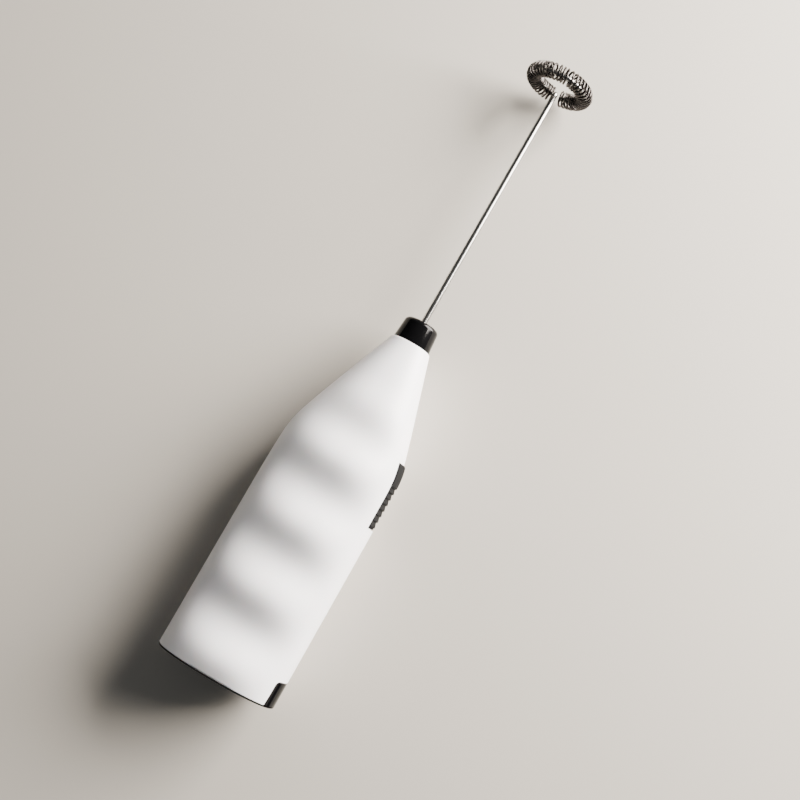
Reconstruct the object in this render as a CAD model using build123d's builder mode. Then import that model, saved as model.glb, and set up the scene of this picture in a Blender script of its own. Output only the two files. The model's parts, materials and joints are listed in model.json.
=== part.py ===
from build123d import *
from math import atan2, cos, degrees, pi, radians, sin, sqrt
import os

# Hand-held milk frother, lying on its back. Millimetres.
# +Y runs along the handle towards the whisk, +X points to the switch side, +Z is up.
# "along" is measured from the end face of the battery cover, "height" from the handle's mid plane.

# driving dimensions

# handle
body_half_width = 20.0
axis_height = 13.2
front_half_height = 12.6
back_half_height = 13.7
section_power = 2.25
section_steps = 20
cavity_steps = 15
shell_start = 0.45
neck_along = 116.6
neck_radius = 6.7
axis_x = 1.6
shoulder_start = 78.5
shoulder_softness = 5.0
slope_start = 90.0
slope_softness = 9.0
side_wall = 2.6
face_wall = 1.6
cavity_end = 106.0

# grip waves across the front
wave_depth = 1.4
wave_pitch = 22.7
first_crest = 6.2
wave_fade_start = 72.0
wave_fade_end = 106.0

# collar and bush
collar_base = neck_along + 0.1
collar_length = 7.8
collar_base_radius = 6.25
collar_top_radius = 5.75
collar_edge = 1.4
spigot_radius = 4.3
spigot_start = 108.0
bush_radius = 2.6
bush_start = 111.0
bush_end = 122.0
collar_hole_radius = 1.5

# whisk
wire_radius = 0.95
wire_start = 100.6
ring_along = 214.0
ring_radius = 9.0
former_radius = 8.25
turn_radius = 2.38
turn_wire_radius = 0.37
turn_count = 40
turn_gap_angle = 20.0
dogleg_length = 3.6
dogleg_bend = 2.0

# motor
can_radius = 10.05
can_flat = 7.55
can_wall = 0.8
can_start = 67.0
can_end = 90.0
cap_start = 64.4
shaft_radius = 1.0
running_gap = 0.05
shaft_start = 64.6
shaft_end = 98.4
magnet_inner_radius = 6.6
core_radius = 6.1
core_start = 72.5
core_end = 86.0
coupling_radius = 2.7
coupling_start = 93.2
coupling_end = 107.0

# cells and contacts
cell_radius = 7.1
cell_length = 49.3
cell_offset = 7.4
nub_radius = 2.75
nub_length = 1.1
cell_edge = 0.6
left_cell_start = 8.2
right_cell_start = 4.7
contact_thickness = 0.4
contact_along = 58.9
contact_half = 4.0
lead_width = 2.0
plate_start = 59.5
plate_thickness = 1.5
plate_gap = 0.2

# switch
slider_start = 60.9
slider_length = 21.8
slider_half_height = 5.3
slider_gap = 0.3
slider_travel = 4.0
thumb_radius = 26.0
top_drop = 1.0
channel_depth = 1.6
ridge_count = 7
ridge_pitch = 1.95
ridge_depth = 0.45
ridge_first = 61.5
stem_start = 65.5
stem_length = 8.0
stem_half_height = 1.8

# battery cover
flange_thickness = 0.35
plug_gap = 0.3
plug_end = 2.6
tab_length = 8.4
tab_half_height = 6.9
tab_thickness = 1.7
tab_gap = 0.2
side_bow = 0.6
free_space = 30.0

# motor details
rib_width = (-10.3, 11.0)
rib_thickness = 1.2
front_rib_height = 9.0
back_rib_height = 10.6
front_boss_radius = 3.0
front_boss_length = 1.6
motor_bush_radius = 2.2
cap_pocket_radius = 4.5
terminal_offset = 6.2
terminal_thickness = 0.4
terminal_half_height = 1.25
terminal_reach = 2.6
brush_thickness = 0.25
brush_gap = 0.15
brush_end = can_start + 3.2
magnet_gap = 0.3
magnet_overhang = 1.0
rear_bush_length = 2.2
brush_along = can_start + 1.05
commutator_radius = 2.4
core_hub_radius = 2.2
core_rim = 1.0
slot_mouth = 1.6
commutator_span = (can_start + 0.4, can_start + 4.0)
tooth_width = 2.6
winding_thickness = 1.0
winding_depth = 1.8
winding_middle = 4.1
winding_overhang = 1.0
winding_gap = 0.1
coupling_chamfer = 0.4

# switch details, from the motor outwards
base_x = (12.0, 12.8)
base_span = (62.0, 84.0)
fixed_contact_spans = ((62.5, 68.0), (72.0, 82.0))
fixed_contact_thickness = 0.3
leaf_x = 13.9
leaf_thickness = 0.3
leaf_foot = 1.5
base_half_height = 3.5
retainer_half_height = 2.8
retainer_x = (14.6, 15.8)
lead_x = 12.2
spring_wire_radius = 0.35
spring_shape = (5.0, 3.0, 3)

tube_radius = turn_radius + turn_wire_radius
half_length = (ring_along + tube_radius) / 2

os.makedirs("parts", exist_ok=True)


# helpers

def station(along):
    """Plane across the handle: local x is the width, local y the height above the rest surface."""
    return Plane.XZ.offset(half_length - along)


def axis_station(along):
    """The same plane with its origin on the whisk's axis."""
    return Plane(station(along).from_local_coords((axis_x, axis_height, 0)), (1, 0, 0), (0, -1, 0))


def bar(x_range, along_range, height_range, mode=Mode.ADD):
    """A box between two widths, two places along the handle and two heights from the mid plane."""
    size = [high - low for low, high in (x_range, along_range, height_range)]
    middle = [(high + low) / 2 for low, high in (x_range, along_range, height_range)]
    with Locations((middle[0], middle[1] - half_length, middle[2] + axis_height)):
        Box(*size, mode=mode)


def drum(radius, start, end, mode=Mode.ADD, x=axis_x):
    """A round bar on a line parallel to the whisk's axis."""
    with BuildSketch(station(end)) as disc:
        with Locations((x, axis_height)):
            Circle(radius)
    extrude(disc.sketch, amount=end - start, mode=mode)


def soft_ramp(along, start, softness):
    """Zero before start, a straight climb after it, with a rounded corner between."""
    run = along - start
    return (run + sqrt(run * run + softness * softness)) / 2


def taper_share(along, start, softness):
    return soft_ramp(along, start, softness) / soft_ramp(neck_along, start, softness)


def fade_out(along):
    share = min(max((along - wave_fade_start) / (wave_fade_end - wave_fade_start), 0), 1)
    return 1 - share * share * (3 - 2 * share)


def ripple(along):
    return wave_depth * fade_out(along) * cos(2 * pi * (along - first_crest) / wave_pitch)


def half_outline(along, full_height, wave, side, inset=0, lid=0):
    """Points of one half of the handle's section. side is 1 for the front and -1 for the back."""
    narrow = taper_share(along, shoulder_start, shoulder_softness)
    low = taper_share(along, slope_start, slope_softness)
    center = axis_x * narrow
    width = body_half_width + (neck_radius - body_half_width) * narrow - inset
    height = full_height + (neck_radius - full_height) * low - lid
    power = 2 / section_power
    outline = []
    for step in range(section_steps + 1):
        angle = pi * step / section_steps
        across = abs(cos(angle)) ** power * (1 if cos(angle) > 0 else -1)
        top = height * abs(sin(angle)) ** power + wave * sin(angle) ** 3
        outline.append((center + width * across, axis_height + side * top))
    return outline


def half_section(along, full_height, wave, side):
    outline = half_outline(along, full_height, wave, side)
    with BuildSketch(station(along)) as section:
        with BuildLine():
            Spline(*outline)
            Line(outline[-1], outline[0])
        make_face()
    return section.sketch


def inner_section(along, inset, lid):
    """The whole hollow of the handle, front and back, at one station."""
    front = half_outline(along, front_half_height - wave_depth, 0, 1, inset, lid)
    back = half_outline(along, back_half_height, 0, -1, inset, lid)
    with BuildSketch(station(along)) as section:
        with BuildLine():
            Spline(*front)
            Spline(*back)
        make_face()
    return section.sketch


def side_band(outer, inner, half_height, along_range, mode=Mode.ADD):
    """A strip of the handle's right side, between two depths below its surface."""
    with BuildSketch(station(along_range[1])) as band:
        with Locations((0, axis_height)):
            Ellipse(body_half_width - outer, front_half_height + side_bow - outer)
            Ellipse(body_half_width - inner, front_half_height + side_bow - inner, mode=Mode.SUBTRACT)
        with Locations((body_half_width, axis_height)):
            Rectangle(body_half_width, 2 * half_height, mode=Mode.INTERSECT)
    extrude(band.sketch, amount=along_range[1] - along_range[0], mode=mode)


def save(part, name):
    part.label = name
    export_step(part, f"parts/{name}.step")


# handle shells

def shell_stations():
    """Stations a quarter of a wave apart, so that each crest and trough has its own."""
    quarter = wave_pitch / 4
    count = int((neck_along - 2 - first_crest) / quarter) + 1
    return [shell_start] + [first_crest + quarter * step for step in range(count)] + [neck_along]


def handle_cavity():
    first = shell_start - 1
    spacing = (cavity_end - first) / cavity_steps
    stations = [first + spacing * step for step in range(cavity_steps + 1)]
    with BuildPart() as cavity:
        loft([inner_section(along, side_wall, face_wall) for along in stations])
    return cavity.part


def motor_room():
    with BuildPart() as room:
        with BuildSketch(axis_station(can_end + 2)):
            Circle(can_radius)
            Rectangle(3 * can_radius, 2 * can_flat, mode=Mode.INTERSECT)
        extrude(amount=can_end - cap_start + 4)
    return room.part


def handle_shell(side):
    full_height = front_half_height if side > 0 else back_half_height
    rib_height = front_rib_height if side > 0 else back_rib_height
    cavity = handle_cavity()
    room = motor_room()
    with BuildPart() as shell:
        loft([half_section(along, full_height, ripple(along) if side > 0 else 0, side)
              for along in shell_stations()])
        add(cavity, mode=Mode.SUBTRACT)
        # flat strip that the handle rests on
        bar((-free_space, free_space), (-1, neck_along + 1), (-free_space, -axis_height), Mode.SUBTRACT)
        # ribs that hold the motor, open where its can passes
        for along in (can_start + 3, can_end - 4):
            bar(rib_width, (along, along + rib_thickness), sorted((0, side * rib_height)))
        add(room, mode=Mode.SUBTRACT)
        # neck bore, switch channel, stem slot and latch notch
        drum(spigot_radius, cavity_end - 1, neck_along + 1, Mode.SUBTRACT)
        side_band(-3, channel_depth, slider_half_height + slider_gap,
                  (slider_start - slider_gap, neck_along), Mode.SUBTRACT)
        slot_half = stem_half_height + slider_gap
        slot_end = stem_start + stem_length + slider_travel + slider_gap
        bar((12, 22), (stem_start - slider_gap, slot_end), (-slot_half, slot_half), Mode.SUBTRACT)
        notch = tab_half_height + tab_gap
        bar((11, 22), (0, tab_length + tab_gap), (-notch, notch), Mode.SUBTRACT)
    return shell.part


save(handle_shell(1), "front_shell")
save(handle_shell(-1), "back_shell")


# nose: collar and bush

collar_top = collar_base + collar_length

with BuildPart() as nose_collar:
    with BuildSketch(axis_station(collar_base)):
        Circle(collar_base_radius)
    with BuildSketch(axis_station(collar_top)):
        Circle(collar_top_radius)
    loft()
    fillet(nose_collar.edges().group_by(Axis.Y)[-1], collar_edge)
    drum(spigot_radius, spigot_start, collar_base)
    drum(bush_radius, spigot_start - 1, bush_end, Mode.SUBTRACT)
    drum(collar_hole_radius, bush_end - 1, collar_top + 1, Mode.SUBTRACT)
save(nose_collar.part, "nose_collar")

with BuildPart() as nose_bush:
    drum(bush_radius, bush_start, bush_end)
    drum(wire_radius + running_gap, bush_start - 1, bush_end + 1, Mode.SUBTRACT)
save(nose_bush.part, "nose_bush")


# motor

def flat_drum(radius, flat, start, end, mode=Mode.ADD):
    """A round bar with two flats, the section of a small flat-sided motor."""
    with BuildSketch(axis_station(end)) as outline:
        Circle(radius)
        Rectangle(3 * radius, 2 * flat, mode=Mode.INTERSECT)
    extrude(outline.sketch, amount=end - start, mode=mode)


def terminal_width(side):
    middle = axis_x + side * terminal_offset
    return (middle - terminal_thickness / 2, middle + terminal_thickness / 2)


terminal_heights = (-terminal_half_height, terminal_half_height)

with BuildPart() as motor_can:
    flat_drum(can_radius, can_flat, can_start, can_end)
    flat_drum(can_radius - can_wall, can_flat - can_wall, can_start - 1, can_end - can_wall, Mode.SUBTRACT)
    drum(front_boss_radius, can_end - can_wall, can_end + front_boss_length)
    drum(motor_bush_radius, can_end - 2, can_end + front_boss_length + 1, Mode.SUBTRACT)
save(motor_can.part, "motor_can")

with BuildPart() as motor_end_cap:
    flat_drum(can_radius, can_flat, cap_start, can_start)
    flat_drum(can_radius - can_wall, can_flat - can_wall, can_start, can_start + 1)
    pocket_start = cap_start + rear_bush_length
    flat_drum(cap_pocket_radius, cap_pocket_radius, pocket_start, can_start + 2, Mode.SUBTRACT)
    drum(motor_bush_radius, cap_start - 1, can_start, Mode.SUBTRACT)
    for side in (-1, 1):
        bar(terminal_width(side), (cap_start - 1, can_start + 2), terminal_heights, Mode.SUBTRACT)
save(motor_end_cap.part, "motor_end_cap")

with BuildPart() as motor_magnets:
    magnet_flat = can_flat - can_wall - magnet_gap
    flat_drum(can_radius - can_wall, magnet_flat, core_start - magnet_overhang, core_end + magnet_overhang)
    drum(magnet_inner_radius, core_start - 2, core_end + 2, Mode.SUBTRACT)
save(motor_magnets.part, "motor_magnets")

bush_places = {"motor_front_bush": (can_end - can_wall, can_end + front_boss_length),
               "motor_rear_bush": (cap_start, cap_start + rear_bush_length)}
for bush_name, (start, end) in bush_places.items():
    with BuildPart() as motor_bush:
        drum(motor_bush_radius, start, end)
        drum(shaft_radius + running_gap, start - 1, end + 1, Mode.SUBTRACT)
    save(motor_bush.part, bush_name)

with BuildPart() as motor_terminals:
    for side in (-1, 1):
        terminal_span = (cap_start - terminal_reach, brush_along + brush_thickness)
        bar(terminal_width(side), terminal_span, terminal_heights)
save(motor_terminals.part, "motor_terminals")

with BuildPart() as motor_brushes:
    for side in (-1, 1):
        near = axis_x + side * (commutator_radius + brush_gap)
        far = axis_x + side * (terminal_offset - terminal_thickness / 2)
        bar(sorted((near, near + side * brush_thickness)), (brush_along, brush_end), (-1, 1))
        bar(sorted((near, far)), (brush_along, brush_along + brush_thickness), (-1, 1))
save(motor_brushes.part, "motor_brushes")


# rotor

with BuildPart() as motor_shaft:
    drum(shaft_radius, shaft_start, shaft_end)
save(motor_shaft.part, "motor_shaft")

with BuildPart() as armature_core:
    with BuildSketch(axis_station(core_end)):
        Circle(core_radius)
        Circle(core_radius - core_rim, mode=Mode.SUBTRACT)
        with PolarLocations(core_radius, 3, 60):
            Rectangle(4 * core_rim, slot_mouth, mode=Mode.SUBTRACT)
        Circle(core_hub_radius)
        with PolarLocations(core_radius / 2, 3, 0):
            Rectangle(core_radius - core_rim, tooth_width)
        Circle(shaft_radius, mode=Mode.SUBTRACT)
    extrude(amount=core_end - core_start)
save(armature_core.part, "armature_core")

with BuildPart() as armature_windings:
    with BuildSketch(axis_station(core_end + winding_overhang)):
        with PolarLocations(winding_middle, 3, 0):
            Rectangle(winding_depth, tooth_width + 2 * winding_thickness)
        Circle(core_radius - core_rim - winding_gap, mode=Mode.INTERSECT)
    extrude(amount=core_end - core_start + 2 * winding_overhang)
    with BuildSketch(axis_station(core_end)):
        with PolarLocations(core_radius / 2, 3, 0):
            Rectangle(core_radius + 2, tooth_width)
    extrude(amount=core_end - core_start, mode=Mode.SUBTRACT)
save(armature_windings.part, "armature_windings")

with BuildPart() as commutator:
    drum(commutator_radius, *commutator_span)
    drum(shaft_radius, can_start, can_start + 5, Mode.SUBTRACT)
save(commutator.part, "commutator")

with BuildPart() as shaft_coupling:
    drum(coupling_radius, coupling_start, coupling_end)
    chamfer(shaft_coupling.edges().filter_by(GeomType.CIRCLE), coupling_chamfer)
    drum(shaft_radius, coupling_start - 1, (shaft_end + wire_start) / 2, Mode.SUBTRACT)
    drum(wire_radius, (shaft_end + wire_start) / 2 - 0.5, coupling_end + 1, Mode.SUBTRACT)
save(shaft_coupling.part, "shaft_coupling")


# whisk: one bent wire and the coil threaded on its ring

def whisk_point(along, height):
    return (axis_x, along - half_length, axis_height + height)


with BuildPart() as whisk_wire:
    with BuildLine() as stem_line:
        FilletPolyline(whisk_point(wire_start, 0), whisk_point(ring_along - dogleg_length, 0),
                       whisk_point(ring_along, -former_radius), radius=dogleg_bend)
    with BuildSketch(axis_station(wire_start)):
        Circle(wire_radius)
    sweep(path=stem_line.wires()[0])
    with Locations(whisk_point(ring_along, -former_radius)):
        Sphere(wire_radius)
    with Locations(Plane(whisk_point(ring_along, 0), (1, 0, 0), (0, -1, 0))):
        Torus(former_radius, wire_radius)
save(whisk_wire.part, "whisk_wire")

with BuildPart() as whisk_coil:
    step_angle = (360 - turn_gap_angle) / (turn_count - 1)
    for turn in range(turn_count):
        angle = radians(-90 + turn_gap_angle / 2 + step_angle * turn)
        outward = (cos(angle), 0, sin(angle))
        along_ring = (-sin(angle), 0, cos(angle))
        middle = (axis_x + ring_radius * cos(angle), ring_along - half_length,
                  axis_height + ring_radius * sin(angle))
        with Locations(Plane(middle, outward, along_ring)):
            Torus(turn_radius, turn_wire_radius)
save(whisk_coil.part, "whisk_coil")


# cells and their contacts

def cell(x, start, nub_first):
    """An AA cell in its metal jacket, with the positive nub at one end."""
    with BuildPart() as battery:
        drum(cell_radius, start, start + cell_length, x=x)
        fillet(battery.edges().filter_by(GeomType.CIRCLE), cell_edge)
        if nub_first:
            drum(nub_radius, start - nub_length, start + 1, x=x)
        else:
            drum(nub_radius, start + cell_length - 1, start + cell_length + nub_length, x=x)
    return battery.part


save(cell(-cell_offset, left_cell_start, False), "left_cell")
save(cell(cell_offset, right_cell_start, True), "right_cell")

with BuildPart() as contact_plate:
    plate_section = inner_section(plate_start, side_wall + plate_gap, face_wall + plate_gap)
    extrude(plate_section, amount=-plate_thickness)
save(contact_plate.part, "contact_plate")

contact_span = (contact_along, contact_along + contact_thickness)
contact_heights = (-contact_half, contact_half)
lead_heights = (contact_half, contact_half + lead_width)

with BuildPart() as positive_contact:
    bar((-cell_offset - contact_half, -cell_offset + contact_half), contact_span, contact_heights)
    bar((-cell_offset, lead_x + contact_thickness), contact_span, lead_heights)
    bar((lead_x, lead_x + contact_thickness), (contact_along, plate_start), lead_heights)
save(positive_contact.part, "positive_contact")


def cone_spring(x, start, end, wide_radius, narrow_radius, turns):
    """A conical battery spring of round wire, from its wide base to its narrow tip."""
    length = abs(end - start) - 2 * spring_wire_radius
    sense = 1 if end > start else -1
    base = (x, start - half_length + sense * spring_wire_radius, axis_height)
    cone = degrees(atan2(narrow_radius - wide_radius, length))
    coil = Helix(length / turns, length, wide_radius, center=base, direction=(0, sense, 0),
                 cone_angle=cone)
    with BuildPart() as spring:
        with BuildSketch(Plane(coil @ 0, z_dir=coil % 0)):
            Circle(spring_wire_radius)
        sweep(path=Wire([coil]), is_frenet=True)
    return spring.part


save(cone_spring(cell_offset, contact_along, right_cell_start + cell_length + 0.1, *spring_shape),
     "negative_spring")
save(cone_spring(-cell_offset, plug_end + contact_thickness, left_cell_start - 0.2, *spring_shape),
     "bridge_spring")

with BuildPart() as bridge_contact:
    bridge_span = (plug_end, plug_end + contact_thickness)
    bar((-cell_offset - contact_half - 1.5, cell_offset + contact_half), bridge_span, contact_heights)
save(bridge_contact.part, "bridge_contact")


# switch

def ridge(start):
    """One saw-tooth ridge: steep towards the cover, sloping away towards the whisk."""
    surface = body_half_width - ridge_depth
    foot = start - half_length
    with BuildSketch(Plane.XY.offset(axis_height - slider_half_height)) as tooth:
        with BuildLine():
            Polyline((surface - 1, foot), (surface + ridge_depth - 0.05, foot + 0.25),
                     (surface, foot + ridge_pitch - 0.15), (surface - 1, foot + ridge_pitch - 0.15),
                     close=True)
        make_face()
    extrude(tooth.sketch, amount=2 * slider_half_height)


def slider_trim():
    """What is cut off the slider's outer face: the ridge roots and the slope at its top end."""
    start = slider_start - half_length
    root = body_half_width - ridge_depth
    thumb = ridge_first + ridge_count * ridge_pitch - half_length
    top = start + slider_length
    with BuildSketch(Plane.XY.offset(axis_height - 2 * slider_half_height)) as waste:
        with BuildLine():
            low = Line((body_half_width + 1, start - 1), (root, start - 1))
            side = Line(low @ 1, (root, thumb - 0.3))
            rise = Line(side @ 1, (body_half_width - 0.05, thumb + 0.6))
            crown = RadiusArc(rise @ 1, (body_half_width - top_drop, top), -thumb_radius)
            past = Line(crown @ 1, (body_half_width + 1, top + 0.5))
            Line(past @ 1, low @ 0)
        make_face()
    return extrude(waste.sketch, amount=4 * slider_half_height)


trim_part = slider_trim()

with BuildPart() as switch_slider:
    slider_span = (slider_start, slider_start + slider_length)
    side_band(0.05, channel_depth - slider_gap, slider_half_height, slider_span)
    add(trim_part, mode=Mode.SUBTRACT)
    for number in range(ridge_count):
        ridge(ridge_first + number * ridge_pitch)
    side_band(-4, 0.05, 2 * slider_half_height, slider_span, Mode.SUBTRACT)
    stem_span = (stem_start, stem_start + stem_length)
    bar((retainer_x[1], body_half_width - 1.2), stem_span, (-stem_half_height, stem_half_height))
    bar(retainer_x, (stem_start + 2, stem_start + stem_length - 2), (-1, 1))
save(switch_slider.part, "switch_slider")

with BuildPart() as switch_retainer:
    retainer_heights = (-retainer_half_height, retainer_half_height)
    bar(retainer_x, (stem_start - 2, stem_start + stem_length + 2), retainer_heights)
    bar(retainer_x, (stem_start + 2, stem_start + stem_length - 2), (-1, 1), Mode.SUBTRACT)
save(switch_retainer.part, "switch_retainer")

with BuildPart() as switch_leaf:
    bar((leaf_x, leaf_x + leaf_thickness), (stem_start - 1, stem_start + stem_length + 1), (-2, 2))
    for along in (stem_start - 1, stem_start + stem_length + 1 - leaf_foot):
        bar((leaf_x - 2 * leaf_thickness, leaf_x), (along, along + leaf_foot), (-2, 2))
    bar((leaf_x, retainer_x[0]), (stem_start + 3, stem_start + 5), (-1, 1))
save(switch_leaf.part, "switch_leaf")

with BuildPart() as switch_base:
    bar(base_x, base_span, (-base_half_height, base_half_height))
save(switch_base.part, "switch_base")

with BuildPart() as switch_contacts:
    fixed_contact_x = (base_x[1], base_x[1] + fixed_contact_thickness)
    for span in fixed_contact_spans:
        bar(fixed_contact_x, span, (1 - base_half_height, base_half_height - 1))
save(switch_contacts.part, "switch_contacts")


# battery cover

with BuildPart() as battery_cover:
    for side, full_height in ((1, front_half_height), (-1, back_half_height)):
        extrude(half_section(0, full_height, ripple(0) if side > 0 else 0, side),
                amount=-flange_thickness)
    extrude(inner_section(0, side_wall + plug_gap, face_wall + plug_gap), amount=-plug_end)
    bar((-free_space, free_space), (-1, plug_end + 1), (-free_space, -axis_height), Mode.SUBTRACT)
    side_band(0, tab_thickness, tab_half_height, (0, tab_length))
save(battery_cover.part, "battery_cover")
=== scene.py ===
import json
from math import cos, pi, radians, sin, sqrt, tan
import bmesh
import bpy
from mathutils import Matrix, Vector


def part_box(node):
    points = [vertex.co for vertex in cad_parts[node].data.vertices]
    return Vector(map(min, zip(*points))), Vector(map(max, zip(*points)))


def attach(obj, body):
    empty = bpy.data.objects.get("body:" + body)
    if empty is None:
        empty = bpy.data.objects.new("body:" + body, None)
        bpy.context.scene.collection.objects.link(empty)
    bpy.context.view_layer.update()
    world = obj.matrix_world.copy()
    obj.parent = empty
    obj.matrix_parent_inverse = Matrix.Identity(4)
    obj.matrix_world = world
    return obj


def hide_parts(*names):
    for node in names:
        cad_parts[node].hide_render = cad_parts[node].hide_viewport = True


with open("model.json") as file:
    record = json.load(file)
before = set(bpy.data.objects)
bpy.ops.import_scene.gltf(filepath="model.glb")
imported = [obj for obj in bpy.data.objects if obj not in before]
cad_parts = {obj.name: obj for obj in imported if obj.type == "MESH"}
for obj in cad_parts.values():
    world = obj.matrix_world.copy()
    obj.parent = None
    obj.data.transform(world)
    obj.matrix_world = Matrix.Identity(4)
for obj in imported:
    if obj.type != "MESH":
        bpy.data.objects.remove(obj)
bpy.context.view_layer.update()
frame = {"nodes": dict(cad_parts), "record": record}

mm = 0.001
sharpFrom = 35    # degrees between faces from which an edge is kept sharp
stripSharpFrom = 50    # the same on the slider and the tab, whose small ridges stay soft
mergeWithin = 0.002 * mm

# where the handle ends and where the whisk turns, straight from the CAD model
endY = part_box("battery_cover")[0][1]
spin = [joint for joint in frame["record"]["behaviour"]["joints"] if joint["name"] == "whisk_spin"][0]
axisX = spin["pos_m"][0] / mm
axisZ = spin["pos_m"][2] / mm

# the handle's form in millimetres, the same rules as the CAD model
handle = {"halfWidth": 20.0, "frontHeight": 12.6, "backHeight": 13.7, "power": 2.25,
          "start": 0.45, "neck": 116.6, "neckRadius": 6.7,
          "shoulder": 78.5, "shoulderSoft": 5.0, "slope": 90.0, "slopeSoft": 9.0,
          "waveDepth": 1.4, "wavePitch": 22.7, "firstCrest": 6.2, "fadeFrom": 72.0, "fadeTo": 106.0,
          "sideWall": 2.6, "faceWall": 1.6, "edge": 0.2, "seamDepth": 0.14}


# width, place along the handle and height from its mid plane, in mm, to the frame in metres
def at(x, along, height):
    return Vector((x * mm, endY + along * mm, (axisZ + height) * mm))


def softRamp(along, start, soft):
    run = along - start
    return (run + sqrt(run * run + soft * soft)) / 2


def share(along, start, soft):
    return softRamp(along, start, soft) / softRamp(handle["neck"], start, soft)


def ripple(along):
    fade = min(max((along - handle["fadeFrom"]) / (handle["fadeTo"] - handle["fadeFrom"]), 0), 1)
    fade = 1 - fade * fade * (3 - 2 * fade)
    return handle["waveDepth"] * fade * cos(2 * pi * (along - handle["firstCrest"]) / handle["wavePitch"])


# a point of the handle's section at an angle from the right-hand parting line, in mm
def outlinePoint(along, angle, side, inset=0.0, lid=0.0, waved=True):
    narrow = share(along, handle["shoulder"], handle["shoulderSoft"])
    low = share(along, handle["slope"], handle["slopeSoft"])
    full = handle["frontHeight"] if side > 0 else handle["backHeight"]
    width = handle["halfWidth"] + (handle["neckRadius"] - handle["halfWidth"]) * narrow - inset
    height = full + (handle["neckRadius"] - full) * low - lid
    power = 2 / handle["power"]
    across = abs(cos(angle)) ** power * (1 if cos(angle) > 0 else -1)
    rise = height * abs(sin(angle)) ** power
    if waved and side > 0:
        rise += ripple(along) * max(sin(angle), 0) ** 3
    return axisX * narrow + width * across, max(side * rise, -axisZ)


# small tools, shared by the pieces

# an sRGB hex value as a linear colour
def toLinear(hexCode):
    values = [int(hexCode[i:i + 2], 16) / 255 for i in (1, 3, 5)]
    return [v / 12.92 if v <= 0.04045 else ((v + 0.055) / 1.055) ** 2.4 for v in values] + [1.0]


# adds a node, sets its properties and inputs, and links its inputs from other nodes' outputs
def addNode(tree, kind, settings=None, links=None):
    node = tree.nodes.new(kind)
    for name, value in (settings or {}).items():
        if isinstance(name, int) or name in node.inputs:
            node.inputs[name].default_value = value
        else:
            setattr(node, name, value)
    for name, source in (links or {}).items():
        tree.links.new(source, node.inputs[name])
    return node


def meshObject(name, verts, faces, smoothAngle=sharpFrom):
    mesh = bpy.data.meshes.new(name)
    mesh.from_pydata([tuple(v) for v in verts], [], faces)
    tidyMesh(mesh, smoothAngle)
    piece = bpy.data.objects.new(name, mesh)
    bpy.context.collection.objects.link(piece)
    return piece


# merges doubles, turns the faces outwards and shades smooth up to an angle
def tidyMesh(mesh, smoothAngle=sharpFrom):
    work = bmesh.new()
    work.from_mesh(mesh)
    bmesh.ops.remove_doubles(work, verts=work.verts, dist=mergeWithin)
    bmesh.ops.recalc_face_normals(work, faces=work.faces)
    work.to_mesh(mesh)
    work.free()
    mesh.shade_smooth()
    mesh.set_sharp_from_angle(angle=radians(smoothAngle))
    mesh.update()


# quads between rows of points laid one after another
def gridFaces(rows, columns, first=0, closed=False):
    faces = []
    for row in range(rows - 1):
        for column in range(columns if closed else columns - 1):
            a = first + row * columns + column
            b = first + row * columns + (column + 1) % columns
            faces.append((a, b, b + columns, a + columns))
    return faces


# turns what the modifiers make into the piece's own plain mesh
def settle(piece):
    depsgraph = bpy.context.evaluated_depsgraph_get()
    mesh = bpy.data.meshes.new_from_object(piece.evaluated_get(depsgraph))
    name = piece.name
    bpy.data.objects.remove(piece)
    mesh.name = name
    done = bpy.data.objects.new(name, mesh)
    bpy.context.collection.objects.link(done)
    return done


# cuts the cutters' shapes out of the piece and removes them
def carve(piece, cutters):
    for cutter in cutters:
        cut = piece.modifiers.new("cut", "BOOLEAN")
        cut.operation = "DIFFERENCE"
        cut.solver = "EXACT"
        cut.object = cutter
    done = settle(piece)
    for cutter in cutters:
        bpy.data.objects.remove(cutter)
    done.data.shade_smooth()
    done.data.set_sharp_from_angle(angle=radians(sharpFrom))
    return done


def wear(piece, material):
    piece.data.materials.clear()
    piece.data.materials.append(material)


# a closed skin through rings that all have the same number of points
def loft(name, rings):
    count = len(rings[0])
    verts = [point for ring in rings for point in ring]
    faces = gridFaces(len(rings), count, closed=True)
    faces.append(tuple(range(count)))
    faces.append(tuple(range(len(verts) - count, len(verts))))
    return meshObject(name, verts, faces)


# turns a closed profile of (radius, along) pairs round the whisk's axis
def lathe(name, profile, steps=96):
    rings = []
    for step in range(steps):
        angle = 2 * pi * step / steps
        rings.append([at(axisX + r * cos(angle), along, r * sin(angle)) for r, along in profile])
    count = len(profile)
    verts = [point for ring in rings for point in ring]
    faces = []
    for row in range(steps):
        for column in range(count):
            a = row * count + column
            b = row * count + (column + 1) % count
            c = ((row + 1) % steps) * count
            faces.append((a, b, c + (column + 1) % count, c + column))
    return meshObject(name, verts, faces)


# materials
def shaderTree(name):
    material = bpy.data.materials.new(name)
    material.use_nodes = True
    tree = material.node_tree
    tree.nodes.clear()
    shader = addNode(tree, "ShaderNodeBsdfPrincipled")
    addNode(tree, "ShaderNodeOutputMaterial", links={"Surface": shader.outputs["BSDF"]})
    return material, tree, shader


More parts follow.
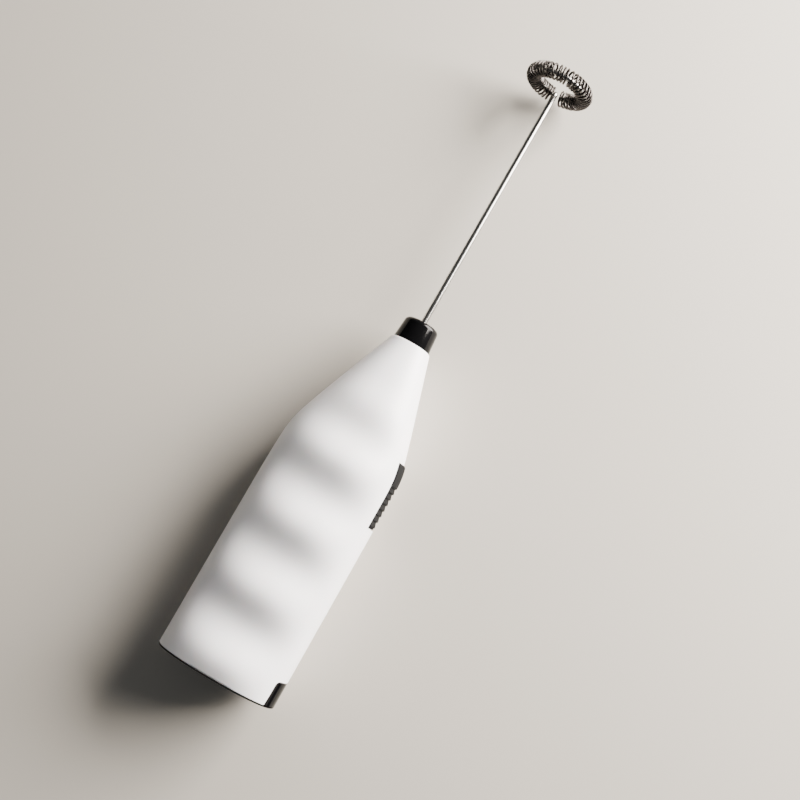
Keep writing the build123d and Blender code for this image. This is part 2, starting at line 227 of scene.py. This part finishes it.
# moulded or plated stuff: a colour and a roughness that drift a little, over fine grain
def mottled(name, look):
    material, tree, shader = shaderTree(name)
    for socket, value in look.get("shader", {}).items():
        shader.inputs[socket].default_value = value
    place = addNode(tree, "ShaderNodeTexCoord").outputs["Object"]
    drift = addNode(tree, "ShaderNodeTexNoise", {"Scale": 1 / (look["drift"] * mm), "Detail": 3.0},
                    {"Vector": place})
    colour = addNode(tree, "ShaderNodeMix", {"data_type": "RGBA"}, {0: drift.outputs["Fac"]})
    colour.inputs[6].default_value = toLinear(look["dark"])
    colour.inputs[7].default_value = toLinear(look["light"])
    tree.links.new(colour.outputs[2], shader.inputs["Base Color"])
    rough = addNode(tree, "ShaderNodeMapRange", {"To Min": look["rough"][0], "To Max": look["rough"][1]},
                    {"Value": drift.outputs["Fac"]})
    tree.links.new(rough.outputs["Result"], shader.inputs["Roughness"])
    grain = addNode(tree, "ShaderNodeTexNoise", {"Scale": 1 / (look["grain"] * mm), "Detail": 2.0},
                    {"Vector": place})
    bump = addNode(tree, "ShaderNodeBump", {"Strength": look["bump"], "Distance": look["depth"] * mm},
                   {"Height": grain.outputs["Fac"]})
    tree.links.new(bump.outputs["Normal"], shader.inputs["Normal"])
    return material


looks = {
    # ABS, injection moulded in a spark-eroded tool: satin white with a very fine grain
    "whiteAbs": {"dark": "#F0F0F3", "light": "#F7F6FA", "rough": (0.36, 0.42), "drift": 22, "grain": 0.35,
                 "bump": 0.10, "depth": 0.02, "shader": {"IOR": 1.54, "Subsurface Weight": 0.06,
                                                         "Subsurface Scale": 0.002}},
    # ABS from a polished tool: deep black, glossy, with a faint unevenness
    "blackAbs": {"dark": "#060607", "light": "#0B0B0C", "rough": (0.10, 0.16), "drift": 9, "grain": 0.8,
                 "bump": 0.04, "depth": 0.02, "shader": {"IOR": 1.5, "Specular IOR Level": 0.16}},
    # ABS from an etched tool: black and matt, so the light spreads over the ridges
    "mattAbs": {"dark": "#0D0D0E", "light": "#141415", "rough": (0.66, 0.76), "drift": 6, "grain": 0.22,
                "bump": 0.15, "depth": 0.02, "shader": {"IOR": 1.5, "Specular IOR Level": 0.12}},
    # nylon inside the handle: plain black
    "nylon": {"dark": "#151515", "light": "#1E1E1E", "rough": (0.5, 0.6), "drift": 7, "grain": 0.3,
              "bump": 0.2, "depth": 0.03, "shader": {"IOR": 1.53}},
    # drawn stainless spring wire: bright but streaked by the die
    "stainlessWire": {"dark": "#8E8D8B", "light": "#B5B4B1", "rough": (0.20, 0.30), "drift": 3, "grain": 0.2,
                      "bump": 0.12, "depth": 0.01, "shader": {"Metallic": 1.0}},
    # thin stainless wire wound cold: coloured darker than the straight wire
    "stainlessCoil": {"dark": "#393635", "light": "#54504E", "rough": (0.22, 0.32), "drift": 2,
                      "grain": 0.15, "bump": 0.12, "depth": 0.01, "shader": {"Metallic": 1.0}},
    # zinc plated motor can: soft spangled grey
    "zincPlate": {"dark": "#9A9B9D", "light": "#B9BABC", "rough": (0.28, 0.4), "drift": 4, "grain": 0.5,
                  "bump": 0.15, "depth": 0.02, "shader": {"Metallic": 1.0}},
    # ground steel shaft
    "groundSteel": {"dark": "#8A8B8C", "light": "#A8A9AA", "rough": (0.22, 0.3), "drift": 2, "grain": 0.2,
                    "bump": 0.15, "depth": 0.01, "shader": {"Metallic": 1.0}},
    # brass strip
    "brassStrip": {"dark": "#B08D43", "light": "#CBAA5E", "rough": (0.25, 0.38), "drift": 3, "grain": 0.3,
                   "bump": 0.12, "depth": 0.01, "shader": {"Metallic": 1.0}},
    # sintered bronze with its pores full of oil
    "sinteredBronze": {"dark": "#6B4A26", "light": "#8C6637", "rough": (0.4, 0.55), "drift": 1,
                       "grain": 0.12, "bump": 0.4, "depth": 0.02, "shader": {"Metallic": 1.0}},
    # enamelled copper wire in its lacquer
    "enamelledCopper": {"dark": "#8A3F1D", "light": "#B25A2C", "rough": (0.2, 0.3), "drift": 1, "grain": 0.4,
                        "bump": 0.5, "depth": 0.05, "shader": {"Metallic": 1.0, "Coat Weight": 0.6}},
    # nickel plated spring and contact plates
    "nickelPlate": {"dark": "#A19D93", "light": "#BDB9AE", "rough": (0.18, 0.28), "drift": 3, "grain": 0.3,
                    "bump": 0.1, "depth": 0.01, "shader": {"Metallic": 1.0}},
    # sintered ferrite magnets
    "ferrite": {"dark": "#1D1D1F", "light": "#2B2B2D", "rough": (0.55, 0.7), "drift": 2, "grain": 0.2,
                "bump": 0.3, "depth": 0.03, "shader": {"IOR": 1.5}},
    # plain film-wrapped steel cells
    "cellJacket": {"dark": "#4A5058", "light": "#59606A", "rough": (0.25, 0.33), "drift": 12, "grain": 0.6,
                   "bump": 0.05, "depth": 0.02, "shader": {"Metallic": 0.3, "Coat Weight": 0.4}},
}
stuff = {name: mottled(name, look) for name, look in looks.items()}
print("materials made:", len(stuff))

cadFinish = {
    "whiteAbs": ["front_shell", "back_shell"],
    "nylon": ["motor_end_cap", "contact_plate", "switch_retainer", "switch_base"],
    "zincPlate": ["motor_can"], "ferrite": ["motor_magnets"],
    "sinteredBronze": ["nose_bush", "motor_front_bush", "motor_rear_bush"],
    "brassStrip": ["motor_terminals", "motor_brushes", "switch_leaf", "switch_contacts", "shaft_coupling"],
    "groundSteel": ["motor_shaft", "armature_core"], "enamelledCopper": ["armature_windings", "commutator"],
    "nickelPlate": ["positive_contact", "negative_spring", "bridge_spring", "bridge_contact"],
    "cellJacket": ["left_cell", "right_cell"],
}
for finish, nodes in cadFinish.items():
    for node in nodes:
        wear(frame["nodes"][node], stuff[finish])


# handle shells
shellGrid = {"along": 300, "round": 96, "innerPlaces": (60, 80, 100)}


# one half section as a row of points from the right parting edge to the left one
def shellRing(along, side, inset, lid, waved, edgeInset):
    row = []
    lifted = handle["edge"] / handle["frontHeight"]
    for step in range(shellGrid["round"] + 1):
        angle = pi * step / shellGrid["round"]
        atSeam = step in (0, shellGrid["round"])
        x, height = outlinePoint(along, angle, side, inset + (edgeInset if atSeam else 0), lid, waved)
        row.append(at(x, along, height))
        if step in (0, shellGrid["round"] - 1):
            near = lifted if step == 0 else pi - lifted
            x, height = outlinePoint(along, near, side, inset, lid, waved)
            row.append(at(x, along, height))
    return row


def makeShell(name, side):
    start, neck = handle["start"], handle["neck"]
    edge = handle["edge"]
    places = [start + edge + (neck - start - 2 * edge) * i / shellGrid["along"]
              for i in range(shellGrid["along"] + 1)]
    outer = [shellRing(start, side, edge, edge, True, 0)]
    outer += [shellRing(along, side, 0, 0, True, handle["seamDepth"]) for along in places]
    outer.append(shellRing(neck, side, edge, edge, True, 0))
    lid = handle["faceWall"] + (handle["waveDepth"] if side > 0 else 0)
    innerPlaces = (start, *shellGrid["innerPlaces"], neck)
    inner = [shellRing(along, side, handle["sideWall"], lid, False, 0) for along in innerPlaces]
    rows = outer + inner[::-1]
    count = len(rows[0])
    verts = [point for row in rows for point in row]
    faces = gridFaces(len(rows), count)
    last = (len(rows) - 1) * count
    faces += [(last + c, last + c + 1, c + 1, c) for c in range(count - 1)]
    # the two parting faces, one long polygon on each side
    faces.append(tuple(row * count for row in range(len(rows))))
    faces.append(tuple(row * count + count - 1 for row in range(len(rows))))
    return meshObject(name, verts, faces)


channel = {"depth": 1.6, "halfHeight": 5.6, "from": 60.6, "bow": 0.6, "past": 4.0, "steps": 24}
notch = {"halfHeight": 7.05, "from": -2.0, "to": 8.58, "corner": 1.4, "steps": 8, "reach": (11.0, 24.0)}


# how far out the handle's side is at a height, below its surface by so many mm
def bandX(height, below):
    a = handle["halfWidth"] - below
    b = handle["frontHeight"] + channel["bow"] - below
    return a * sqrt(max(1 - (height / b) ** 2, 0))


def channelCutter():
    rings = []
    steps = channel["steps"]
    clear = handle["halfWidth"] + channel["past"]
    for along in (channel["from"], handle["neck"] + channel["past"]):
        heights = [channel["halfHeight"] * (2 * i / steps - 1) for i in range(steps + 1)]
        ring = [at(bandX(height, channel["depth"]), along, height) for height in heights]
        ring += [at(clear, along, heights[-1]), at(clear, along, heights[0])]
        rings.append(ring)
    return loft("channelCutter", rings)


# a block with two rounded corners, where the cover's latch tab goes
def notchCutter():
    flat = [(notch["from"], -notch["halfHeight"])]
    for side in (-1, 1):
        for i in range(notch["steps"] + 1):
            part = i / notch["steps"]
            turn = pi / 2 * (part if side < 0 else 1 - part)
            flat.append((notch["to"] - notch["corner"] * (1 - sin(turn)),
                         side * (notch["halfHeight"] - notch["corner"] * (1 - cos(turn)))))
    flat.append((notch["from"], notch["halfHeight"]))
    return loft("notchCutter", [[at(x, along, height) for along, height in flat] for x in notch["reach"]])


for name, side, node in (("frontShell", 1, "front_shell"), ("backShell", -1, "back_shell")):
    shell = carve(makeShell(name, side), [channelCutter(), notchCutter()])
    wear(shell, stuff["whiteAbs"])
    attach(shell, "housing")
    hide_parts(node)
print("handle shells made")


# collar
collar = {"base": 116.7, "length": 7.8, "baseRadius": 6.25, "topRadius": 5.75, "edge": 1.5, "foot": 0.25,
          "hole": 1.5, "lip": 0.3, "bore": 2.6, "spigot": 4.25, "spigotFrom": 108.0, "boreTo": 122.0}


def arcPoints(centerR, centerA, radius, fromDeg, toDeg, steps=10):
    return [(centerR + radius * cos(radians(fromDeg + (toDeg - fromDeg) * i / steps)),
             centerA + radius * sin(radians(fromDeg + (toDeg - fromDeg) * i / steps)))
            for i in range(steps + 1)]


def makeCollar():
    top = collar["base"] + collar["length"]
    edge, foot = collar["edge"], collar["foot"]
    profile = [(collar["bore"], collar["spigotFrom"]), (collar["spigot"], collar["spigotFrom"]),
               (collar["spigot"], collar["base"])]
    profile += arcPoints(collar["baseRadius"] - foot, collar["base"] + foot, foot, -90, 0, 5)
    profile += arcPoints(collar["topRadius"] - edge, top - edge, edge, 0, 90, 12)
    profile += arcPoints(collar["hole"] + collar["lip"], top - collar["lip"], collar["lip"], 90, 180, 5)
    profile += [(collar["hole"], collar["boreTo"]), (collar["bore"], collar["boreTo"])]
    return lathe("collar", profile)


piece = makeCollar()
wear(piece, stuff["blackAbs"])
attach(piece, "housing")
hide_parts("nose_collar")
print("collar made")


# side pieces: the slider and the cover's tab are both strips of the handle's side

# a strip with its own relief: depthAt says how deep its face lies below the handle's side
def sideStrip(name, span, halfHeight, depthAt, back, cells, corner):
    rows, columns = cells
    front, rear = [], []
    for i in range(rows + 1):
        along = span[0] + (span[1] - span[0]) * i / rows
        for j in range(columns + 1):
            height = halfHeight * (2 * j / columns - 1)
            # rounded corners and edges
            da = max(corner - min(along - span[0], span[1] - along), 0)
            dh = max(corner - (halfHeight - abs(height)), 0)
            off = min(sqrt(da * da + dh * dh), corner)
            drop = corner - sqrt(corner * corner - off * off)
            front.append(at(bandX(height, 0) - depthAt(along, height) - drop, along, height))
            rear.append(at(bandX(height, back), along, height))
    verts = front + rear
    width = columns + 1
    shift = len(front)
    faces = gridFaces(rows + 1, width) + gridFaces(rows + 1, width, shift)
    for i in range(rows):
        for j in (0, columns):
            a = i * width + j
            faces.append((a, a + width, a + width + shift, a + shift))
    for i in (0, rows):
        for j in range(columns):
            a = i * width + j
            faces.append((a, a + 1, a + 1 + shift, a + shift))
    return meshObject(name, verts, faces, stripSharpFrom)


slider = {"from": 60.9, "length": 21.8, "halfHeight": 5.3, "back": 1.3, "corner": 0.5,
          "ridges": 7, "pitch": 1.95, "ridgeDepth": 0.45, "firstRidge": 61.5, "steep": 0.16,
          "topDrop": 1.0, "thumbFrom": 75.4, "recess": 0.05, "toe": 0.6, "cells": (280, 60)}


def sliderDepth(along, height):
    s = along - slider["firstRidge"]
    recess = slider["recess"]
    if s < 0:
        return recess + slider["ridgeDepth"] * slider["toe"]
    if s < slider["ridges"] * slider["pitch"]:
        phase = (s / slider["pitch"]) % 1
        steep = slider["steep"]
        fall = 1 - phase / steep if phase < steep else (phase - steep) / (1 - steep)
        return recess + slider["ridgeDepth"] * fall
    t = (along - slider["thumbFrom"]) / (slider["from"] + slider["length"] - slider["thumbFrom"])
    t = min(max(t, 0), 1)
    return recess + slider["topDrop"] * t * t


piece = sideStrip("sliderCap", (slider["from"], slider["from"] + slider["length"]), slider["halfHeight"],
                  sliderDepth, slider["back"], slider["cells"], slider["corner"])
wear(piece, stuff["mattAbs"])
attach(piece, "switch")
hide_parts("switch_slider")
print("slider made")


# battery cover: an end plate with the latch tab standing up one side
cover = {"plate": 0.35, "edge": 0.25, "plugTo": 2.6, "plugGap": 0.3, "tab": 8.4, "tabHalf": 6.9,
         "tabBack": 1.7, "tabCorner": 0.6,
         "padHalf": 5.0, "padEdge": 0.5, "flankDepth": 0.5, "tabCells": (84, 120),
         "round": 160, "edgeSteps": 6}


def coverRing(along, inset, lid, waved):
    ring = []
    for side in (1, -1):
        for step in range(cover["round"]):
            angle = pi * step / cover["round"] if side > 0 else pi - pi * step / cover["round"]
            x, height = outlinePoint(0, angle, side, inset, lid, waved)
            ring.append(at(x, along, height))
    return ring


def makeCover():
    edge = cover["edge"]
    rings = []
    for i in range(cover["edgeSteps"] + 1):
        turn = pi / 2 * i / cover["edgeSteps"]
        inset = edge * (1 - sin(turn))
        rings.append(coverRing(edge * (1 - cos(turn)), inset, inset, True))
    rings.append(coverRing(cover["plate"], 0, 0, True))
    wall = handle["sideWall"] + cover["plugGap"]
    lid = handle["faceWall"] + handle["waveDepth"] + cover["plugGap"]
    rings.append(coverRing(cover["plate"], wall, lid, False))
    rings.append(coverRing(cover["plugTo"], wall, lid, False))
    return loft("coverPlate", rings)


# the middle of the tab is a pad that stands up from its two flanks
def tabDepth(along, height):
    climb = min(max((cover["padHalf"] - abs(height)) / cover["padEdge"], 0), 1)
    return cover["flankDepth"] * (1 - climb * climb * (3 - 2 * climb))


plate = makeCover()
tab = sideStrip("coverTab", (0.0, cover["tab"]), cover["tabHalf"], tabDepth, cover["tabBack"],
                cover["tabCells"], cover["tabCorner"])
for piece in (plate, tab):
    wear(piece, stuff["blackAbs"])
    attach(piece, "cover")
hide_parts("battery_cover")
print("battery cover made")


# whisk: one wire with a dogleg into its ring
wire = {"radius": 0.95, "from": 100.6, "ringAlong": 214.0, "ringRadius": 8.25, "dogleg": 2.3,
        "bend": 1.7, "turnIn": 1.6, "run": 2.4, "ringDegrees": 324, "ringSteps": 90,
        "sides": 24}


# straight runs with an arc at each inner corner
def roundedPath(points, radii, steps=10):
    path = [points[0]]
    for before, corner, after, radius in zip(points, points[1:], points[2:], radii):
        a, b = (before - corner).normalized(), (after - corner).normalized()
        half = a.angle(b) / 2
        reach = radius / tan(half)
        middle = corner + (a + b).normalized() * (radius / sin(half))
        start, end = corner + a * reach - middle, corner + b * reach - middle
        for i in range(steps + 1):
            path.append(middle + start.slerp(end, i / steps) * radius / start.length
                        if start.length else middle)
    return path + [points[-1]]


def wirePath():
    ring = wire["ringAlong"]
    low = Vector((0, ring, -wire["ringRadius"]))
    aside = low + Vector((-wire["run"], 0, 0))
    points = [Vector((0, wire["from"], 0)), Vector((0, ring - wire["dogleg"], 0)), low, aside]
    path = roundedPath(points, [wire["bend"], wire["turnIn"]])[:-1]
    begin = -pi / 2 - wire["run"] / wire["ringRadius"]
    for i in range(wire["ringSteps"] + 1):
        angle = begin - radians(wire["ringDegrees"]) * i / wire["ringSteps"]
        path.append(Vector((wire["ringRadius"] * cos(angle), ring, wire["ringRadius"] * sin(angle))))
    return [at(axisX + p.x, p.y, p.z) for p in path]


def tube(name, path, radius):
    curve = bpy.data.curves.new(name, "CURVE")
    curve.dimensions = "3D"
    curve.bevel_depth = radius * mm
    curve.bevel_resolution = wire["sides"] // 4
    curve.use_fill_caps = True
    line = curve.splines.new("POLY")
    line.points.add(len(path) - 1)
    for point, place in zip(line.points, path):
        point.co = (*place, 1)
    piece = bpy.data.objects.new(name, curve)
    bpy.context.collection.objects.link(piece)
    done = settle(piece)
    tidyMesh(done.data)
    return done


piece = tube("whiskWire", wirePath(), wire["radius"])
wear(piece, stuff["stainlessWire"])
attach(piece, "whisk")
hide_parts("whisk_wire")
print("whisk wire made")


# whisk coil, wound round the ring by Geometry Nodes
coil = {"Turns": 42, "Steps": 20, "Ring Radius": 9.0 * mm, "Turn Radius": 2.38 * mm,
        "Wire Radius": 0.36 * mm, "Sides": 10, "Gap": 14.0, "Unevenness": 0.05, "Seed": 7.0}


# each point of the wound wire: a name, what is done, and numbers or the names of earlier values
windSteps = [
    ("points", "MULTIPLY", "Turns", "Steps"), ("count", "ADD", "points", 1.0),
    # the turns lie a little unevenly along the ring and differ a little in size
    ("driftAt", "ADD", "along", "Seed"), ("drift", "NOISE", "driftAt", 13.0, 1.0),
    ("swellSeed", "ADD", "Seed", 5.0), ("swellAt", "ADD", "along", "swellSeed"),
    ("swell", "NOISE", "swellAt", 31.0, 0.0),
    ("driftMiddle", "SUBTRACT", "drift", 0.5), ("leanMost", "MULTIPLY", "Unevenness", 0.5),
    ("lean", "MULTIPLY", "driftMiddle", "leanMost"),
    ("rest", "SUBTRACT", 1.0, "along"), ("hump", "MULTIPLY", "along", "rest"),
    ("steadyEnds", "MULTIPLY", "hump", 4.0), ("shift", "MULTIPLY", "lean", "steadyEnds"),
    ("share", "ADD", "along", "shift"),
    # the angle round the ring, which leaves its gap at the lowest point
    ("span", "SUBTRACT", 360.0, "Gap"), ("halfGap", "MULTIPLY", "Gap", 0.5),
    ("firstDegree", "ADD", -90.0, "halfGap"), ("swept", "MULTIPLY", "share", "span"),
    ("ringDegree", "ADD", "firstDegree", "swept"), ("ringAngle", "RADIANS", "ringDegree"),
    ("ringCos", "COSINE", "ringAngle"), ("ringSin", "SINE", "ringAngle"),
    # the angle round the turn
    ("wound", "MULTIPLY", "along", "Turns"), ("turnAngle", "MULTIPLY", "wound", 2 * pi),
    ("turnCos", "COSINE", "turnAngle"), ("turnSin", "SINE", "turnAngle"),
    ("shrink", "MULTIPLY", "swell", "Unevenness"), ("thin", "SUBTRACT", 1.0, "shrink"),
    ("turn", "MULTIPLY", "Turn Radius", "thin"),
    ("out", "MULTIPLY", "turn", "turnCos"), ("reach", "ADD", "Ring Radius", "out"),
    ("across", "MULTIPLY", "reach", "ringCos"), ("x", "ADD", "across", axisX * mm),
    ("ahead", "MULTIPLY", "turn", "turnSin"), ("y", "ADD", "ahead", at(0, wire["ringAlong"], 0).y),
    ("lift", "MULTIPLY", "reach", "ringSin"), ("z", "ADD", "lift", axisZ * mm),
]


def coilTree(material):
    tree = bpy.data.node_groups.new("windCoil", "GeometryNodeTree")
    tree.interface.new_socket("Geometry", in_out="INPUT", socket_type="NodeSocketGeometry")
    tree.interface.new_socket("Geometry", in_out="OUTPUT", socket_type="NodeSocketGeometry")
    for name, value in coil.items():
        kind = "NodeSocketInt" if isinstance(value, int) else "NodeSocketFloat"
        tree.interface.new_socket(name, in_out="INPUT", socket_type=kind)
    given = addNode(tree, "NodeGroupInput").outputs
    line = addNode(tree, "GeometryNodeCurvePrimitiveLine")
    points = addNode(tree, "GeometryNodeResampleCurve", links={"Curve": line.outputs["Curve"]})
    values = {name: given[name] for name in coil}
    values["along"] = addNode(tree, "GeometryNodeSplineParameter").outputs["Factor"]
    for name, operation, *terms in windSteps:
        if operation == "NOISE":    # a place, a scale and a detail
            node = addNode(tree, "ShaderNodeTexNoise", {"noise_dimensions": "1D", "Scale": terms[1],
                                                        "Detail": terms[2]}, {"W": values[terms[0]]})
        else:
            numbers = {slot: term for slot, term in enumerate(terms) if not isinstance(term, str)}
            sources = {slot: values[term] for slot, term in enumerate(terms) if isinstance(term, str)}
            node = addNode(tree, "ShaderNodeMath", {"operation": operation, **numbers}, sources)
        values[name] = node.outputs[0]
    tree.links.new(values["count"], points.inputs["Count"])
    place = addNode(tree, "ShaderNodeCombineXYZ", links={"X": values["x"], "Y": values["y"],
                                                         "Z": values["z"]})
    bent = addNode(tree, "GeometryNodeSetPosition", links={"Geometry": points.outputs["Curve"],
                                                           "Position": place.outputs["Vector"]})
    section = addNode(tree, "GeometryNodeCurvePrimitiveCircle",
                      links={"Resolution": given["Sides"], "Radius": given["Wire Radius"]})
    skin = addNode(tree, "GeometryNodeCurveToMesh", {"Fill Caps": True},
                   {"Curve": bent.outputs["Geometry"], "Profile Curve": section.outputs["Curve"]})
    soft = addNode(tree, "GeometryNodeSetShadeSmooth", links={"Geometry": skin.outputs["Mesh"]})
    real = addNode(tree, "GeometryNodeRealizeInstances", links={"Geometry": soft.outputs["Geometry"]})
    dressed = addNode(tree, "GeometryNodeSetMaterial", {"Material": material},
                      {"Geometry": real.outputs["Geometry"]})
    addNode(tree, "NodeGroupOutput", links={"Geometry": dressed.outputs["Geometry"]})
    return tree


def makeCoil(material):
    tree = coilTree(material)
    piece = bpy.data.objects.new("whiskCoil", bpy.data.meshes.new("whiskCoil"))
    bpy.context.collection.objects.link(piece)
    wind = piece.modifiers.new("wind", "NODES")
    wind.node_group = tree
    for socket in tree.interface.items_tree:
        if socket.in_out == "INPUT" and socket.name in coil:
            wind[socket.identifier] = coil[socket.name]
    return settle(piece)


piece = makeCoil(stuff["stainlessCoil"])
tidyMesh(piece.data)
wear(piece, stuff["stainlessCoil"])
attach(piece, "whisk")
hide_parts("whisk_coil")
print("whisk coil wound")


# floor, light and camera
stageLook = {"floorRough": 0.6, "floor": "#BCB7AE", "size": 3.0, "sky": "#D8DADC", "skyStrength": 0.15,
             "windowAt": (0.38, 0.42, 0.175), "windowPower": 43.0, "windowSize": 0.54,
             "windowAim": (0, 0, 0.01), "windowTint": "#FFF8F0",
             "ceilingAt": (-0.3, -0.2, 1.2), "ceilingPower": 0.3, "ceilingSize": 1.5,
             "ceilingTint": "#F2F5FF"}
bpy.ops.mesh.primitive_plane_add(size=stageLook["size"], location=(0, 0, 0))
floor = bpy.context.object
floor.name = "floor"
floorStuff, tree, shader = shaderTree("paintedBoard")
shader.inputs["Base Color"].default_value = toLinear(stageLook["floor"])
shader.inputs["Roughness"].default_value = stageLook["floorRough"]
wear(floor, floorStuff)

world = bpy.data.worlds.new("softRoom")
bpy.context.scene.world = world
world.use_nodes = True
sky = world.node_tree.nodes["Background"]
sky.inputs["Color"].default_value = toLinear(stageLook["sky"])
sky.inputs["Strength"].default_value = stageLook["skyStrength"]


def areaLight(name, place, target, power, size, colour):
    data = bpy.data.lights.new(name, "AREA")
    data.shape = "SQUARE"
    data.size = size
    data.energy = power
    data.color = toLinear(colour)[:3]
    light = bpy.data.objects.new(name, data)
    light.location = place
    light.rotation_euler = (Vector(target) - Vector(place)).to_track_quat("-Z", "Y").to_euler()
    bpy.context.collection.objects.link(light)


areaLight("window", stageLook["windowAt"], stageLook["windowAim"], stageLook["windowPower"],
          stageLook["windowSize"], stageLook["windowTint"])
areaLight("ceiling", stageLook["ceilingAt"], (0, 0, 0), stageLook["ceilingPower"],
          stageLook["ceilingSize"], stageLook["ceilingTint"])

# the camera stands above the handle, looking a little towards the whisk and from the switch side
view = {"above": 0.3676, "foot": (7.1, 58.3), "aim": (7.1, 100.1), "lean": 4.7, "turn": 29.5, "lens": 53.8,
        "near": 0.01}
aim = at(view["aim"][0], view["aim"][1], 0)
sideways = view["above"] * tan(radians(view["lean"]))
stand = at(view["foot"][0], view["foot"][1], 0) + Vector((sideways, 0, view["above"]))
cameraData = bpy.data.cameras.new("camera")
cameraData.lens = view["lens"]
cameraData.clip_start = view["near"]
camera = bpy.data.objects.new("camera", cameraData)
bpy.context.collection.objects.link(camera)
back = (stand - aim).normalized()
upright = Vector((-sin(radians(view["turn"])), cos(radians(view["turn"])), 0))
right = upright.cross(back).normalized()
over = back.cross(right)
camera.matrix_world = Matrix.Translation(stand) @ Matrix((right, over, back)).transposed().to_4x4()
bpy.context.scene.camera = camera
print("stage set")
